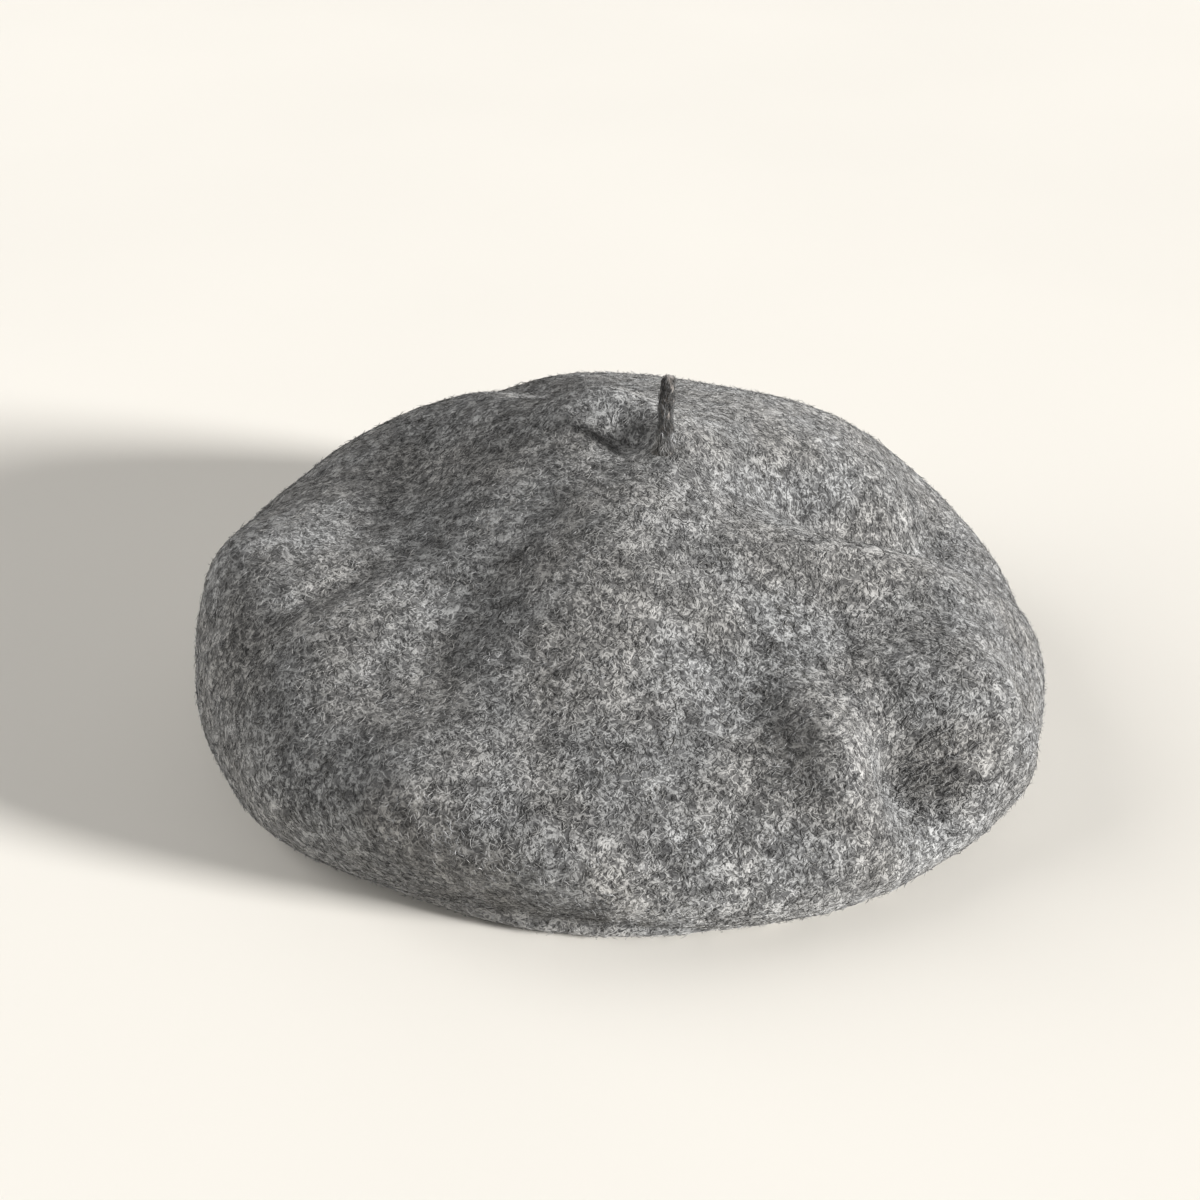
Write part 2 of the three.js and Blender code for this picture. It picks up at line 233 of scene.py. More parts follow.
# Finer folds, given in the same way. They sharpen some of the dents, move or flatten others,
# and add the dimple in the front and the crease behind the stem.
FOLDS = (
    (282, 0.25, 0, 0.037, 0.03, -1.6),  # dimple in the front
    (315, 0.17, 45, 0.1, 0.08, -2.5),  # hollow at the front right of the stem
    (318, 0.38, 322, 0.21, 0.13, 3),  # shallower flat below the valley
    (328, 0.78, 58, 0.2, 0.2, 7),  # front right shoulder
    (350, 0.5, 14, 0.3, 0.1, 10),  # right valley, filled here
    (5, 0.43, 12, 0.34, 0.08, -12),  # and sunk further back
    (344, 0.45, 7, 0.26, 0.09, 5),  # its near bank
    (15, 0.68, 35, 0.1, 0.07, -7),  # its notch, sunk further back
    (3, 0.73, 12, 0.13, 0.06, 6),  # and filled here
    (24, 0.66, 110, 0.13, 0.1, -3),  # outer slope of the back right bulge
    (305, 0.76, 302, 0.18, 0.07, -4),  # front right fold, flattened here
    (303, 0.68, 302, 0.18, 0.08, 7),  # and raised nearer the crown
    (293, 0.53, 292, 0.18, 0.11, 4),  # shallower valley beside it
    (316, 0.83, 318, 0.12, 0.08, -6),  # front right dent
    (332, 0.86, 330, 0.12, 0.06, 5),  # its right bank
    (236, 0.36, 232, 0.3, 0.14, 5),  # left shoulder of the middle ridge
    (244, 0.85, 334, 0.42, 0.1, 7),  # overhang of the front left
    (252, 1.02, 342, 0.5, 0.15, -5),  # tuck below it
    (264, 0.83, 354, 0.16, 0.09, 2),  # right end of the overhang
    (166, 0.5, 256, 0.22, 0.12, -7),  # slump at the back left
    (190, 0.5, 262, 0.2, 0.08, 4),  # shallower hollow across the left
    (165, 0.72, 255, 0.12, 0.1, -3),  # upper left bulge, lower at its back end
    (184, 0.76, 274, 0.1, 0.1, 6),  # and higher at its front end
    (197, 0.75, 197, 0.16, 0.08, 3.5),  # saddle between the left bulges
    (140, 0.18, 50, 0.12, 0.08, 5),  # face of the hump behind the stem
    (0, 0, 0, 0.055, 0.055, 3),  # small cone round the stem's root
    (145, 0.1, 145, 0.075, 0.045, -6),  # crease from the cone to the back left
    (165, 0.07, 150, 0.055, 0.043, 2),  # shallower hollow beside the stem
    (268, 1.1, 358, 0.75, 0.17, -3),  # tuck under the front
)
DENTS_GO = (1.07, 1.21)  # shares of the way to the rim between which they fade out underneath
FOLDS_GO = (1.1, 1.29)
LUMP_SEED = 11
LUMP_WAVES = 70  # crossing waves that make the felt uneven
LUMP_LENGTHS = (9, 34)  # from crest to crest
LUMP_HEIGHT = 0.09
ROUND_STEPS = 360
FACE_RINGS = 190
INSIDE_RINGS = 58
EDGE_TURNS = (30, 60, 90, 120, 150)  # rings of the rounded cut edge, in degrees
STEPS_PER_POINT = 60  # for measuring along the meridian
NORMAL_STEP = 0.4
# The map holds the felt's two faces as two discs that fit in a square, corner to corner.
MAP_MIDDLE = 0.2929
MAP_RADIUS = 0.2928
MAP_EDGE_STEP = 0.5  # between rings of the cut edge
MAP_MARGIN = 5
FELT_DARK = (0.03, 0.03, 0.031, 1)
FELT_MID = (0.108, 0.108, 0.109, 1)
FELT_LIGHT = (0.3, 0.3, 0.298, 1)
# Curling fibres in the felt's colour: size of the curls, width of the fibres and a shift.
LIGHT_CURLS = ((2.1, 0.5, (0, 0, 0)), (2.6, 0.5, (31, 7, 3)), (1.7, 0.42, (5, 43, 17)))
DARK_CURLS = (2.0, 0.45, (71, 13, 29))
CURL_FACE = (0.42, 0.08)  # where a fibre starts and is full, as shares of its width
CURL_BREAKS = (0.38, 0.52)  # of a noise that cuts the fibres to length
# Widths of the fine grain, the clumps of fibres, the soft clouds and the changes of tint.
GRAIN_SIZE = 0.45
CLUMP_SIZE = 4.5
CLOUD_SIZE = 22
TINT_SIZE = 31
# How much each part counts in the felt's relief and tone.
LIGHT_SHARE = 0.62
GRAIN_SHARE = 0.5
CLUMP_SHARE = 0.46
DARK_SHARE = 0.3
# Widths of the uneven places, and how dark and how light they are.
CLOUD_TONE = (0.9, 1.26)
BLOTCH_SIZE = 8
BLOTCH_TONE = (0.76, 1.1)
FLECK_SIZE = 3.2
FLECK_TONE = (0.82, 1.06)
FELT_RELIEF = 0.35

band_low_corner, band_high_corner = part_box("sweatband")
OPENING_CENTRE = np.array((band_low_corner + band_high_corner) / 2) / MM * (1, 1, 0)
OPENING_RADIUS = 88  # 553 mm round


def meridian():
    """Distances down the meridian from the crown's middle, with the radius and height there."""
    crown = [(r * RIM_RADIUS, z * CROWN_HEIGHT) for r, z in CROWN_LINE]
    roll = [(r * RIM_RADIUS, z * RIM_LEVEL) for r, z in ROLL_LINE]
    last = ((roll[-1][0] + OPENING_RADIUS) / 2, 0)
    end = (OPENING_RADIUS, 0)
    points = [(-crown[0][0], crown[0][1]), (0, CROWN_HEIGHT), *crown]
    points += [(RIM_RADIUS, RIM_LEVEL), *roll, last, end, end]
    points = np.array(points, float)
    t = np.linspace(0, 1, STEPS_PER_POINT, endpoint=False)[:, None]
    runs = []
    for a, b, c, d in zip(points, points[1:], points[2:], points[3:]):
        bend = (2 * a - 5 * b + 4 * c - d) * t**2 + (3 * b - a - 3 * c + d) * t**3
        runs.append(b + 0.5 * ((c - a) * t + bend))
    line = np.vstack([*runs, points[-1:]])
    steps = np.hypot(*np.diff(line, axis=0).T)
    return np.concatenate([[0], np.cumsum(steps)]), line[:, 0], line[:, 1]


LINE_DISTANCE, LINE_RADIUS, LINE_HEIGHT = meridian()
LINE_OUTWARD = np.gradient(LINE_RADIUS, LINE_DISTANCE)
LINE_UPWARD = np.gradient(LINE_HEIGHT, LINE_DISTANCE)
RIM_DISTANCE = LINE_DISTANCE[(len(CROWN_LINE) + 1) * STEPS_PER_POINT]
FLAT_DISTANCE = LINE_DISTANCE[(len(CROWN_LINE) + 4) * STEPS_PER_POINT]
EDGE_DISTANCE = LINE_DISTANCE[-1]

chance = np.random.default_rng(LUMP_SEED)
lump_turn = chance.uniform(0, math.tau, LUMP_WAVES)
lump_length = chance.uniform(*LUMP_LENGTHS, LUMP_WAVES)
lump_start = chance.uniform(0, math.tau, LUMP_WAVES)
LUMP_X = math.tau * np.cos(lump_turn) / lump_length
LUMP_Y = math.tau * np.sin(lump_turn) / lump_length
LUMP_SIZE = lump_length / lump_length.mean() * LUMP_HEIGHT * math.sqrt(2 / LUMP_WAVES)


def eased(value, low, high):
    t = np.clip((value - low) / (high - low), 0, 1)
    return t * t * (3 - 2 * t)


def lumps(u, v):
    """The felt's unevenness at a place on its flat pattern."""
    height = np.zeros_like(u)
    for x, y, start, size in zip(LUMP_X, LUMP_Y, lump_start, LUMP_SIZE):
        height += size * np.sin(x * u + y * v + start)
    return height


def dent_depth(u, v):
    """How far the dents and folds push the felt out at a place on its flat pattern."""
    distance = np.hypot(u, v) / RIM_DISTANCE
    depth = np.zeros_like(u)
    for folds, (fading, gone) in ((DENTS, DENTS_GO), (FOLDS, FOLDS_GO)):
        pushed = np.zeros_like(u)
        for direction, far, turn, half_length, half_width, push in folds:
            dx = u / RIM_DISTANCE - far * math.cos(math.radians(direction))
            dy = v / RIM_DISTANCE - far * math.sin(math.radians(direction))
            c, s = math.cos(math.radians(turn)), math.sin(math.radians(turn))
            along, across = (dx * c + dy * s) / half_length, (dy * c - dx * s) / half_width
            pushed += push * np.exp(-(along**2) - across**2)
        depth += pushed * (1 - eased(distance, fading, gone))
    return depth


def felt(u, v):
    """The point of the felt's outer face over a place on its flat pattern."""
    distance, angle = np.hypot(u, v), np.arctan2(v, u)
    outward = eased(distance, OUTLINE_GROWS * RIM_DISTANCE, RIM_DISTANCE)
    inward = 1 - eased(distance, OUTLINE_GOES * RIM_DISTANCE, FLAT_DISTANCE)
    stretch = np.ones_like(u)
    for waves, share, direction in OUTLINE_STRETCH:
        stretch += share * np.cos(waves * (angle - math.radians(direction))) * outward * inward
    grows, goes = [np.array(shares) * RIM_DISTANCE for shares in (PUFF_GROWS, PUFF_GOES)]
    puffed = eased(distance, *grows) * (1 - eased(distance, *goes))
    tall = 1 + BACK_PUFF[0] * np.cos(angle - math.radians(BACK_PUFF[1])) * puffed
    depth = dent_depth(u, v) + lumps(u, v)
    radius = np.interp(distance, LINE_DISTANCE, LINE_RADIUS) * stretch
    height = np.interp(distance, LINE_DISTANCE, LINE_HEIGHT) * tall
    radius = radius - depth * np.interp(distance, LINE_DISTANCE, LINE_UPWARD)
    height = height + depth * np.interp(distance, LINE_DISTANCE, LINE_OUTWARD)
    slump = 1 - eased(distance, 0, RIM_DISTANCE)
    x = radius * np.cos(angle) + CROWN_SHIFT[0] * slump
    y = radius * np.sin(angle) + CROWN_SHIFT[1] * slump
    z = np.where(distance < FLAT_DISTANCE, np.maximum(height, 0), 0)
    return np.stack([x, y, z], -1) + OPENING_CENTRE


def unit(vectors):
    return vectors / np.maximum(np.linalg.norm(vectors, axis=-1, keepdims=True), 1e-9)


def felt_outward(u, v):
    """The direction straight out of the felt's outer face."""
    across = felt(u + NORMAL_STEP, v) - felt(u - NORMAL_STEP, v)
    along = felt(u, v + NORMAL_STEP) - felt(u, v - NORMAL_STEP)
    return unit(np.cross(across, along))


def felt_inside(u, v):
    return felt(u, v) - FELT_THICKNESS * felt_outward(u, v)


def new_piece(name, points, faces, material):
    """A smooth mesh object from points in millimetres."""
    mesh = bpy.data.meshes.new(name)
    mesh.from_pydata((np.asarray(points, float) * MM).tolist(), [], faces)
    mesh.shade_smooth()
    mesh.materials.append(material)
    made = bpy.data.objects.new(name, mesh)
    bpy.context.collection.objects.link(made)
    return made


def ring_faces(rings, steps):
    """Faces of a tube of rings of points, each ring's points one after another."""
    faces = []
    for k in range(rings - 1):
        for i in range(steps):
            j = (i + 1) % steps
            a, b = k * steps, (k + 1) * steps
            faces.append((a + i, b + i, b + j, a + j))
    return faces


def unwrapped(piece, places):
    """Gives a piece a map that the colours can be baked through, from a place for each corner."""
    layer = piece.data.uv_layers.new(name="OFBake")
    layer.data.foreach_set("uv", np.asarray(places, np.float32).ravel())


def felt_shell(material):
    """Rings of the outer face, the rounded cut edge, and rings of the inner face back up."""
    round_it = np.arange(ROUND_STEPS) * math.tau / ROUND_STEPS
    outer = np.linspace(0, EDGE_DISTANCE, FACE_RINGS + 1)[1:]
    inner = np.linspace(0, EDGE_DISTANCE, INSIDE_RINGS + 1)[:0:-1]
    rings = []
    for distance in outer:
        rings.append(felt(distance * np.cos(round_it), distance * np.sin(round_it)))
    outward = np.stack([np.cos(round_it), np.sin(round_it), 0 * round_it], -1)
    for turn in EDGE_TURNS:
        c, s = math.cos(math.radians(turn)), math.sin(math.radians(turn))
        reach = OPENING_RADIUS - EDGE_ROUNDING * s
        rings.append(OPENING_CENTRE + outward * reach + (0, 0, FELT_THICKNESS / 2 * (1 - c)))
    for distance in inner:
        rings.append(felt_inside(distance * np.cos(round_it), distance * np.sin(round_it)))
    zero = np.zeros(1)
    points = np.vstack([*rings, felt(zero, zero), felt_inside(zero, zero)])
    faces = ring_faces(len(rings), ROUND_STEPS)
    top, under = len(points) - 2, len(points) - 1
    last = (len(rings) - 1) * ROUND_STEPS
    for i in range(ROUND_STEPS):
        j = (i + 1) % ROUND_STEPS
        faces.append((top, i, j))
        faces.append((under, last + j, last + i))
    piece = new_piece("felt_shell_wool", points, faces, material)
    edge = outer[-1] + np.arange(1, len(EDGE_TURNS) + 1) * MAP_EDGE_STEP
    spread = np.concatenate([outer, edge, inner])
    unwrapped(piece, pattern_map(piece, spread, len(outer) + len(edge)))
    return piece


def pattern_map(piece, spread, turned):
    """Places of the face corners on the flat patterns of the outer face and the inner face."""
    width = MAP_RADIUS / (EDGE_DISTANCE + MAP_MARGIN)
    corners = np.empty(len(piece.data.loops), np.int64)
    piece.data.loops.foreach_get("vertex_index", corners)
    starts = np.empty(len(piece.data.polygons), np.int64)
    piece.data.polygons.foreach_get("loop_start", starts)
    sizes = np.diff(np.append(starts, len(corners)))
    ring = np.minimum(corners // ROUND_STEPS, len(spread) - 1)
    distance = spread[ring]
    distance[corners >= len(spread) * ROUND_STEPS] = 0
    angle = (corners % ROUND_STEPS) * math.tau / ROUND_STEPS
    lowest = np.repeat(np.minimum.reduceat(corners, starts), sizes)
    inside = (lowest >= turned * ROUND_STEPS) & (lowest != len(spread) * ROUND_STEPS)
    joining = ~inside & (ring >= turned) & (corners < len(spread) * ROUND_STEPS)
    distance[joining] = spread[turned - 1] + MAP_EDGE_STEP
    middle = np.where(inside, 1 - MAP_MIDDLE, MAP_MIDDLE)
    turn = np.where(inside, -1, 1)
    x = middle + turn * width * distance * np.cos(angle)
    y = middle + width * distance * np.sin(angle)
    return np.stack([x, y], -1)


def curls(tree, place, size, width, shift):
    """Curling fibres as the level lines of a smooth noise: 1 along a fibre and 0 between."""
    moved = put(tree, "VectorMath", {0: place, 1: shift}, operation="ADD").outputs[0]
    level = noise_of(tree, moved, size, 0.6)
    off = maths(tree, "ABSOLUTE", maths(tree, "SUBTRACT", level, 0.5))
    line = ranged(tree, off, *[share * width / size for share in CURL_FACE])
    cut = ranged(tree, noise_of(tree, moved, 1.5 * size), *CURL_BREAKS)
    return maths(tree, "MULTIPLY", line, cut)


def mottle(tree):
    """Darker and lighter places where the wool was carded unevenly, the same in felt and nap."""
    blotch = noise_of(tree, own_place(tree), BLOTCH_SIZE, 2)
    fleck = noise_of(tree, own_place(tree, shift=(19, 3, 11)), FLECK_SIZE, 1)
    blotch = ranged(tree, blotch, 0.34, 0.6, *BLOTCH_TONE)
    fleck = ranged(tree, fleck, 0.3, 0.62, *FLECK_TONE)
    return maths(tree, "MULTIPLY", blotch, fleck)


def marl_felt(name, stretch=(1, 1, 1), shade=1.0, warmth=0.0):
    """Felted marl wool: light and dark fibres that curl over each other, in soft clumps."""
    material, tree, shader = new_material(name)
    place = own_place(tree, stretch=stretch)
    light, *others = [curls(tree, place, *values) for values in LIGHT_CURLS]
    for other in others:
        light = maths(tree, "MAXIMUM", light, other)
    dark = curls(tree, place, *DARK_CURLS)
    grain = noise_of(tree, place, GRAIN_SIZE, 1)
    clump = noise_of(tree, place, CLUMP_SIZE, 2)
    cloud = noise_of(tree, place, CLOUD_SIZE, 2)
    tint = noise_of(tree, place, TINT_SIZE, 1)
    # From dark pits to light fibres. The tone follows the same relief as the bump, so the dark pits
    # are painted shade between the fibres; the dark curls and the clumps are the wool's own darker
    # and lighter fibres.
    fibre_height = maths(tree, "MULTIPLY", light, LIGHT_SHARE)
    grain_height = maths(tree, "MULTIPLY", grain, GRAIN_SHARE)
    height = maths(tree, "ADD", fibre_height, grain_height)
    tone = maths(tree, "MULTIPLY_ADD", ranged(tree, clump, 0.3, 0.7), CLUMP_SHARE, height)
    tone = maths(tree, "SUBTRACT", tone, maths(tree, "MULTIPLY", dark, DARK_SHARE))
    low = between(tree, ranged(tree, tone, 0.05, 0.62), FELT_DARK, FELT_MID)
    colour = between(tree, ranged(tree, tone, 0.55, 1.25), low, FELT_LIGHT)
    dim, bright = CLOUD_TONE
    strength = ranged(tree, cloud, 0.25, 0.75, dim * shade, bright * shade)
    strength = maths(tree, "MULTIPLY", strength, mottle(tree))
    warm = (1 + 0.1 * warmth + 0.015, 1.0, 0.98 - 0.06 * warmth, 1)
    cool = (0.985 + 0.1 * warmth, 1.0, 1.015 - 0.06 * warmth, 1)
    hue = between(tree, ranged(tree, tint, 0.35, 0.65), warm, cool)
    scaled = put(tree, "VectorMath", {0: colour, "Scale": strength}, operation="SCALE").outputs[0]
    tinted = put(tree, "VectorMath", {0: scaled, 1: hue}, operation="MULTIPLY").outputs[0]
    tree.links.new(tinted, shader.inputs["Base Color"])
    rough = ranged(tree, grain, 0.2, 0.8, 0.8, 0.98)
    tree.links.new(rough, shader.inputs["Roughness"])
    raised = put(tree, "Bump", {"Height": height, "Distance": FELT_RELIEF * MM, "Strength": 0.8})
    tree.links.new(raised.outputs[0], shader.inputs["Normal"])
    shader.inputs["Specular IOR Level"].default_value = 0.15
    shader.inputs["Sheen Weight"].default_value = 0.35
    shader.inputs["Sheen Roughness"].default_value = 0.55
    return material


felt_piece = felt_shell(marl_felt("grey_marl_felt"))
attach(felt_piece, "beret")
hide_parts("felt_shell")

# ---------------------------------------------------------------------------------------------
# Nap of the felt. Loose wool fibres that the fulling and brushing have left on its face: each
# curls along the face with both ends caught in it, or with one end free.
# ---------------------------------------------------------------------------------------------
NAP_FIBRES = 16000  # in each piece
NAP_WIDTH = (0.065, 0.105)
NAP_LENGTH = (2.0, 4.4)
NAP_CURL = 0.65  # turn in radians for each millimetre
NAP_REACH = (0.1, 0.36)  # how high the middle of a fibre arches
NAP_FREE = 0.16  # share of the fibres with a free end
NAP_FREE_REACH = (0.4, 1.5)
NAP_UNDER = 0.25  # share of the fibres that the rubbed underside keeps
NAP_UNDER_FROM = 1.12  # where the underside starts, as a share of the way to the rim
NAP_LOWEST = 0.1
# Places along a fibre: share of its length, share of its arch and share of its free end's rise.
NAP_SHAPE = ((-0.5, -0.1, 0), (-0.17, 1, 0.1), (0.17, 1, 0.4), (0.5, -0.1, 1))
LEAST_CURL = 0.02
# Name, seed and the darkest and lightest tone of each piece.
NAP_PIECES = (
    ("felt_nap_light_1", 21, (0.22, 0.42)),
    ("felt_nap_light_2", 22, (0.18, 0.35)),
    ("felt_nap_mid", 23, (0.085, 0.18)),
    ("felt_nap_dark", 24, (0.02, 0.07)),
)
FIBRE_SIDES = 3
FIBRE_TINT_SIZE = 9


def fibre_finish(name):
    """One wool fibre's colour is the same all along it, and slightly warmer or cooler in places."""
    material, tree, shader = new_material(name)
    tone = put(tree, "Attribute", attribute_name="tone").outputs["Fac"]
    tone = maths(tree, "MULTIPLY", tone, mottle(tree))
    tint = noise_of(tree, own_place(tree), FIBRE_TINT_SIZE, 1)
    hue = between(tree, ranged(tree, tint, 0.35, 0.65), (1.012, 1, 0.975, 1), (0.985, 1, 1.02, 1))
    colour = put(tree, "VectorMath", {0: hue, "Scale": tone}, operation="SCALE").outputs[0]
    tree.links.new(colour, shader.inputs["Base Color"])
    shader.inputs["Roughness"].default_value = 0.7
    shader.inputs["Specular IOR Level"].default_value = 0.3
    shader.inputs["Sheen Weight"].default_value = 0.2
    return material


def fibres(name, path, up, width, tone, material):
    """Fibres that are pointed at both ends, as thin closed spindles along paths of four points."""
    count = len(path)
    along = unit(path[:, 2:] - path[:, :2])
    side = unit(np.cross(along, up[:, None]))
    over = np.cross(side, along)
    turns = math.radians(90) + np.arange(FIBRE_SIDES) * math.tau / FIBRE_SIDES
    ring = side[:, :, None] * np.cos(turns)[:, None] + over[:, :, None] * np.sin(turns)[:, None]
    ring = path[:, 1:3, None] + ring * width[:, None, None, None]
    points = np.concatenate([path[:, :1], ring.reshape(count, -1, 3), path[:, 3:]], axis=1)
    per = 2 + 2 * FIBRE_SIDES
    low, high = 1, 1 + FIBRE_SIDES  # where the two rings of a fibre's points start
    pattern = []
    for i in range(FIBRE_SIDES):
        j = (i + 1) % FIBRE_SIDES
        pattern.append((0, low + j, low + i))
        pattern.append((low + i, low + j, high + j, high + i))
        pattern.append((high + i, high + j, per - 1))
    faces = []
    for start in range(0, count * per, per):
        faces.extend(tuple(start + k for k in face) for face in pattern)
    piece = new_piece(name, points.reshape(-1, 3), faces, material)
    held = piece.data.attributes.new("tone", "FLOAT", "POINT")
    held.data.foreach_set("value", np.repeat(tone, per).astype(np.float32))
    # Each fibre has a small square of its own on the map.
    cells = math.ceil(math.sqrt(count))
    across = np.array([0.2, *[0.4] * FIBRE_SIDES, *[0.6] * FIBRE_SIDES, 0.8])
    upward = np.array([0.5, *[0.25, 0.5, 0.75] * 2, 0.5])
    corner = np.concatenate(pattern)
    x = (np.arange(count) % cells)[:, None] + across[corner]
    y = (np.arange(count) // cells)[:, None] + upward[corner]
    unwrapped(piece, np.stack([x, y], -1) / cells)
    return piece


def nap(name, seed, tones, material):
    """Fibres scattered evenly over the felt's outer face."""
    chance = np.random.default_rng(seed)
    share = np.where(LINE_DISTANCE < NAP_UNDER_FROM * RIM_DISTANCE, 1, NAP_UNDER)
    wanted = np.cumsum(LINE_RADIUS * share * np.gradient(LINE_DISTANCE))
    distance = np.interp(chance.uniform(0, wanted[-1], NAP_FIBRES), wanted, LINE_DISTANCE)
    angle = chance.uniform(0, math.tau, NAP_FIBRES)
    heading = chance.uniform(0, math.tau, NAP_FIBRES)
    length = chance.uniform(*NAP_LENGTH, NAP_FIBRES)
    curl = chance.normal(0, NAP_CURL, NAP_FIBRES)
    curl = np.where(np.abs(curl) < LEAST_CURL, LEAST_CURL, curl)
    arch = chance.uniform(*NAP_REACH, NAP_FIBRES)
    free = chance.uniform(0, 1, NAP_FIBRES) < NAP_FREE
    rise = np.where(free, chance.uniform(*NAP_FREE_REACH, NAP_FIBRES), 0)
    squeeze = distance / np.maximum(np.interp(distance, LINE_DISTANCE, LINE_RADIUS), 1)
    path = []
    for t, lift, loose in NAP_SHAPE:
        bent = curl * t * length
        ahead = np.sin(bent) / curl
        aside = (1 - np.cos(bent)) / curl
        down = ahead * np.cos(heading) - aside * np.sin(heading)
        turn = (ahead * np.sin(heading) + aside * np.cos(heading)) * squeeze
        u = (distance + down) * np.cos(angle) - turn * np.sin(angle)
        v = (distance + down) * np.sin(angle) + turn * np.cos(angle)
        out = arch * lift + rise * loose
        place, outward = felt(u, v), felt_outward(u, v)
        place = place + outward * out[:, None]
        place[:, 2] = np.maximum(place[:, 2], NAP_LOWEST)
        path.append(place)
    up = felt_outward(distance * np.cos(angle), distance * np.sin(angle))
    width = chance.uniform(*NAP_WIDTH, NAP_FIBRES)
    tone = chance.uniform(*tones, NAP_FIBRES)
    return fibres(name, np.stack(path, 1), up, width, tone, material)


fibre_material = fibre_finish("wool_fibre")
for nap_name, nap_seed, nap_tones in NAP_PIECES:
    nap_piece = nap(nap_name, nap_seed, nap_tones, fibre_material)
    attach(nap_piece, "beret")

# ---------------------------------------------------------------------------------------------
# Stem. The short felted stub at the middle of a beret's crown: a cord of the same wool, fulled
# with the shell, whose root spreads into the felt. It is built up from the place of its joint at
# the root.
# ---------------------------------------------------------------------------------------------
STEM_RADIUS = 2.25
STEM_TIP_RADIUS = 2.05
STEM_BOW = 0.8  # how far the tip leans sideways
STEM_SWAY = (0.25, 0.3)  # how far it wanders from straight, sideways and to the back
ROOT_RADIUS = 4.6
ROOT_DEPTH = 3.3  # how far the root reaches below the place where the stem bends
ROOT_HEIGHT = 3.5  # where the root has narrowed to the stem
ROOT_FLARE = 2.2
TIP_ROUNDING = 1.7
TIP_WEAR = 1.5  # the stub ends this much below its solid
TIP_GAP = 0.02  # between the last ring and the closing point
STEM_ROUND_STEPS = 32
STEM_RINGS = 80
STEM_BUMPS = 0.16
# Waves of the bumps: share, waves round the stem, radians for each millimetre up it and start.
STEM_WAVES = ((1, 2, 0.55, 0), (0.8, 3, -0.8, 1), (0.7, 1, 1.3, 2), (0.5, 5, 1.9, 0))
STEM_SEED = 31
STEM_FIBRES = 1500
STEM_NAP_FROM = -2.2  # above the hinge
STEM_NAP_END = 0.6  # below the tip
STEM_NAP_LENGTH = (1.8, 4.2)
STEM_NAP_SLANT = 0.28  # how far a fibre turns round the stem, for each millimetre along it
STEM_NAP_BEND = 0.12
STEM_NAP_REACH = (0.05, 0.3)
STEM_NAP_FREE = 0.2  # share of the fibres with a free end
STEM_NAP_FREE_REACH = (0.2, 1.0)
STEM_NAP_WIDTH = (0.06, 0.1)
STEM_NAP_TONE = (0.02, 0.2)
# Places along a fibre, given as for the nap of the felt.
STEM_NAP_SHAPE = ((-0.5, -0.2, 0), (-0.17, 1, 0.1), (0.17, 1, 0.45), (0.5, -0.2, 1))
ROOT_NAP_SHARE = 0.25  # share of the fibres that are gathered at the root
ROOT_NAP_HEIGHT = (-2.4, 3)
ROOT_NAP_TONE = 1.9  # lighter there, like the crown

joint_place = {j["name"]: np.array(j["pos_m"]) / MM for j in frame["joints"]}
STEM_ROOT = joint_place["stem_tilt"]
STEM_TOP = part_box("stem")[1].z / MM - STEM_ROOT[2] - TIP_WEAR


def stem_face(turn, height):
    """A point of the stem's face, by the angle round it and the height above where it bends."""
    up = np.clip(height / STEM_TOP, 0, 1)
    radius = STEM_RADIUS + (STEM_TIP_RADIUS - STEM_RADIUS) * up
    root = 1 - eased(height, -ROOT_DEPTH, ROOT_HEIGHT)
    radius = radius + (ROOT_RADIUS - STEM_RADIUS) * root**ROOT_FLARE
    tip = np.clip((height - STEM_TOP + TIP_ROUNDING) / TIP_ROUNDING, 0, 1)
    radius = radius * np.sqrt(np.maximum(1 - tip**2.4, 0))
    bumps = 0
    for share, waves, along, start in STEM_WAVES:
        bumps = bumps + share * np.sin(waves * turn + along * height + start)
    radius = radius + STEM_BUMPS * bumps * (1 - tip)
    lean = STEM_BOW * up**2 + STEM_SWAY[0] * np.sin(0.3 * height) * (1 - up)
    x = radius * np.cos(turn) + lean
    y = radius * np.sin(turn) + STEM_SWAY[1] * np.sin(0.22 * height + 0.5)
    return STEM_ROOT + np.stack([x, y, height + 0 * turn], -1)


def stem():
    heights = np.linspace(-ROOT_DEPTH, STEM_TOP, STEM_RINGS)
    heights[-1] -= TIP_GAP
    turns = np.arange(STEM_ROUND_STEPS) * math.tau / STEM_ROUND_STEPS
    rings = [stem_face(turns, np.full_like(turns, h)) for h in heights]
    low, high = rings[0].mean(0), rings[-1].mean(0) + (0, 0, TIP_GAP)
    points = np.vstack([*rings, [low, high]])
    faces = [face[::-1] for face in ring_faces(len(rings), STEM_ROUND_STEPS)]
    last = (len(rings) - 1) * STEM_ROUND_STEPS
    for i in range(STEM_ROUND_STEPS):
        j = (i + 1) % STEM_ROUND_STEPS
        faces.append((len(points) - 2, j, i))
        faces.append((len(points) - 1, last + i, last + j))
    material = marl_felt("stem_felt", stretch=(1, 1, 2.2), shade=0.6, warmth=1.0)
    return new_piece("stem_wool", points, faces, material)


